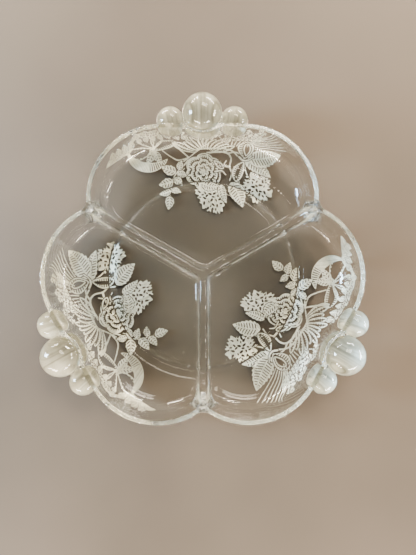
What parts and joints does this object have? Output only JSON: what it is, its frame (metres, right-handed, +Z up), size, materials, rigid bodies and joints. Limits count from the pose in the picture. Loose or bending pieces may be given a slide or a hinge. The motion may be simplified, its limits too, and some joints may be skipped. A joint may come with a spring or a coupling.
{
  "type": "divided relish dish",
  "caption": "Trefoil pressed-glass serving dish with a Y-shaped divider, ball-cluster handles on the lobes and silver floral overlay under the glass.",
  "frame": {"origin": "on the table below the middle of the dish's bounding box", "axes": "+Z up, +Y towards the back lobe's handle, a divider arm along -Y, left and right lobes mirrored in X"},
  "size_m": [0.2254, 0.2238, 0.0445],
  "materials": {
    "clear_glass": "clear pressed glass, fire-polished, faint waviness",
    "silver_overlay": "thin silver deposit, bright outside, matte with fine streaks where it meets the glass"
  },
  "bodies": {
    "root": {"glass_dish": "clear_glass", "floor_spray_back": "silver_overlay", "floor_twig_back": "silver_overlay", "wall_spray_back": "silver_overlay", "large_ball_silver_back": "silver_overlay", "first_small_ball_silver_back": "silver_overlay", "second_small_ball_silver_back": "silver_overlay", "floor_spray_left": "silver_overlay", "floor_twig_left": "silver_overlay", "wall_spray_left": "silver_overlay", "large_ball_silver_left": "silver_overlay", "first_small_ball_silver_left": "silver_overlay", "second_small_ball_silver_left": "silver_overlay", "floor_spray_right": "silver_overlay", "floor_twig_right": "silver_overlay", "wall_spray_right": "silver_overlay", "large_ball_silver_right": "silver_overlay", "first_small_ball_silver_right": "silver_overlay", "second_small_ball_silver_right": "silver_overlay"}
  },
  "joints": []
}
